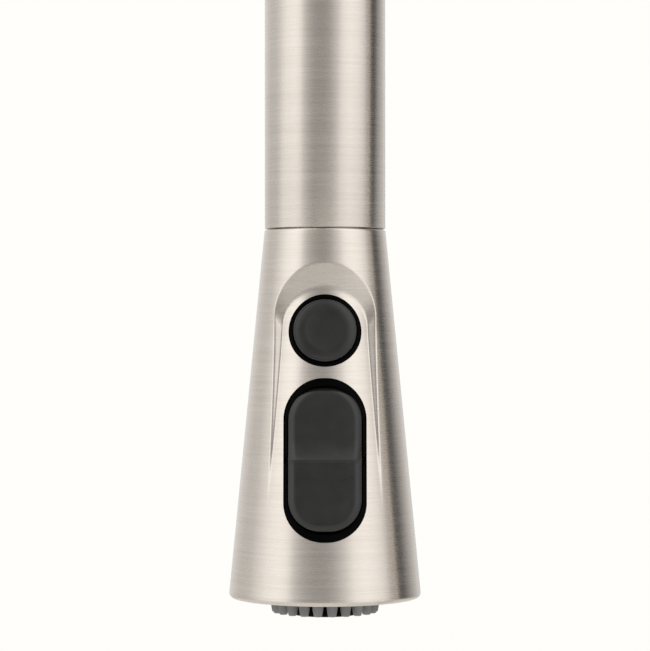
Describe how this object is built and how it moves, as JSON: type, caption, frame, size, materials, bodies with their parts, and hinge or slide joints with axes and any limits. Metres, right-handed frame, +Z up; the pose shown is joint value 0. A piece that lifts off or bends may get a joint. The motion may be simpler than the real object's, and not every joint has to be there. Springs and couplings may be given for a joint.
{
  "type": "pull-down kitchen faucet",
  "caption": "Gooseneck kitchen faucet with a pull-down spray head, pause button, spray rocker and side lever.",
  "frame": {"origin": "centre of the deck hole, on the deck's upper face", "axes": "+Z up; the spout points to -X at rest; the spray buttons and the lever face -Y"},
  "size_m": [0.2513, 0.075, 0.5829],
  "materials": {
    "brushed_nickel": "fine circumferential brushing, satin",
    "charcoal_plastic": "satin",
    "black_plastic": "glossy",
    "white_plastic": "satin",
    "grey_silicone": "matte",
    "black_rubber": "matte",
    "brass": "machined",
    "stainless_steel": "machined",
    "copper": "drawn tube",
    "ceramic": "lapped",
    "braided_hose": "nylon braid",
    "magnet": "sintered"
  },
  "bodies": {
    "root": {"body_housing": "brushed_nickel", "base_ring": "brushed_nickel", "base_seal": "black_rubber", "threaded_shank": "brass", "guide_tube": "brass", "guide_o_rings": "black_rubber", "wear_ring": "white_plastic", "spout_screw": "stainless_steel", "hot_tube": "copper", "cold_tube": "copper", "outlet_tube": "copper", "hose_end_fitting": "brass", "cartridge_base": "white_plastic", "cartridge_seals": "black_rubber", "fixed_disc": "ceramic", "cartridge_housing": "white_plastic", "bonnet_nut": "brass", "dome_cap": "brushed_nickel"},
    "spout": {"spout_tube": "brushed_nickel", "dock_insert": "white_plastic", "dock_magnet": "magnet", "swivel_sleeve": "brass", "spray_hose_run": "braided_hose"},
    "spray_hose": {"hose_tail": "brass", "hose_ferrule": "stainless_steel", "spray_hose_drop": "braided_hose"},
    "spray_head": {"head_shell": "brushed_nickel", "docking_collar": "stainless_steel", "hose_nut": "stainless_steel", "inlet_nipple": "brass", "filter_washer": "black_rubber", "check_valve_spring": "stainless_steel", "head_waterway": "black_plastic", "button_frame": "black_plastic", "frame_screws": "stainless_steel", "pause_spring": "stainless_steel", "rocker_pin": "black_plastic", "spray_manifold": "black_plastic", "manifold_screws": "stainless_steel", "aerator_housing": "black_plastic", "aerator_insert": "white_plastic", "nozzle_mat": "grey_silicone", "spray_face": "black_plastic"},
    "check_valve": {"check_valve_poppet": "white_plastic"},
    "pause_button": {"pause_button": "charcoal_plastic"},
    "rocker": {"rocker_button": "charcoal_plastic"},
    "diverter": {"diverter_spool": "white_plastic", "diverter_o_rings": "black_rubber"},
    "valve_rotor": {"cartridge_rotor": "white_plastic", "stem_pin": "stainless_steel"},
    "handle": {"lever_stem": "stainless_steel", "handle_hub": "brushed_nickel", "handle_lever": "brushed_nickel", "handle_set_screw": "stainless_steel"},
    "ceramic": {"moving_disc": "ceramic", "disc_carrier": "white_plastic"},
    "deck_nut": {"rubber_washer": "black_rubber", "steel_washer": "stainless_steel", "mounting_nut": "brass", "mounting_screws": "stainless_steel"}
  },
  "joints": [
    {"name": "spout_swivel", "type": "hinge", "parent": "root", "child": "spout", "pos_m": [0, 0, 0.12], "axis": [0, 0, 1], "range_deg": [-120, 120]},
    {"name": "spray_pull", "type": "slide", "parent": "spout", "child": "spray_hose", "axis": [0, 0, -1], "range_m": [0, 0.45], "deforming": ["spray_hose_drop"]},
    {"name": "spray_swivel", "type": "hinge", "parent": "spray_hose", "child": "spray_head", "pos_m": [-0.2, 0, 0.281], "axis": [0, 0, 1], "continuous": true},
    {"name": "pause_press", "type": "slide", "parent": "spray_head", "child": "pause_button", "axis": [0, 0.9898, -0.1426], "range_m": [0, 0.0022], "stiffness_N_per_m": 600, "springref_m": -0.001},
    {"name": "rocker_tilt", "type": "hinge", "parent": "spray_head", "child": "rocker", "pos_m": [-0.2, -0.01725, 0.21717], "axis": [1, 0, 0], "range_deg": [0, 8.9]},
    {"name": "diverter_slide", "type": "slide", "parent": "spray_head", "child": "diverter", "axis": [0, 0, 1], "range_m": [0, 0.0015]},
    {"name": "check_valve_lift", "type": "slide", "parent": "spray_head", "child": "check_valve", "axis": [0, 0, -1], "range_m": [0, 0.0025], "stiffness_N_per_m": 60, "springref_m": -0.001, "deforming": ["check_valve_spring"]},
    {"name": "valve_temperature", "type": "hinge", "parent": "root", "child": "valve_rotor", "pos_m": [0, -0.03, 0.072], "axis": [0, 1, 0], "range_deg": [-45, 45]},
    {"name": "valve_flow", "type": "hinge", "parent": "valve_rotor", "child": "handle", "pos_m": [0, -0.03, 0.072], "axis": [1, 0, 0], "range_deg": [0, 20]},
    {"name": "disc_slide", "type": "slide", "parent": "valve_rotor", "child": "ceramic", "axis": [0, 0, 1], "range_m": [0, 0.0036]},
    {"name": "mounting_nut_travel", "type": "slide", "parent": "root", "child": "deck_nut", "axis": [0, 0, 1], "range_m": [-0.06, 0.026]}
  ],
  "couplings": [
    {"joint": "diverter_slide", "follows": "rocker_tilt", "m_per_rad": 0.0096},
    {"joint": "disc_slide", "follows": "valve_flow", "m_per_rad": 0.0099}
  ]
}
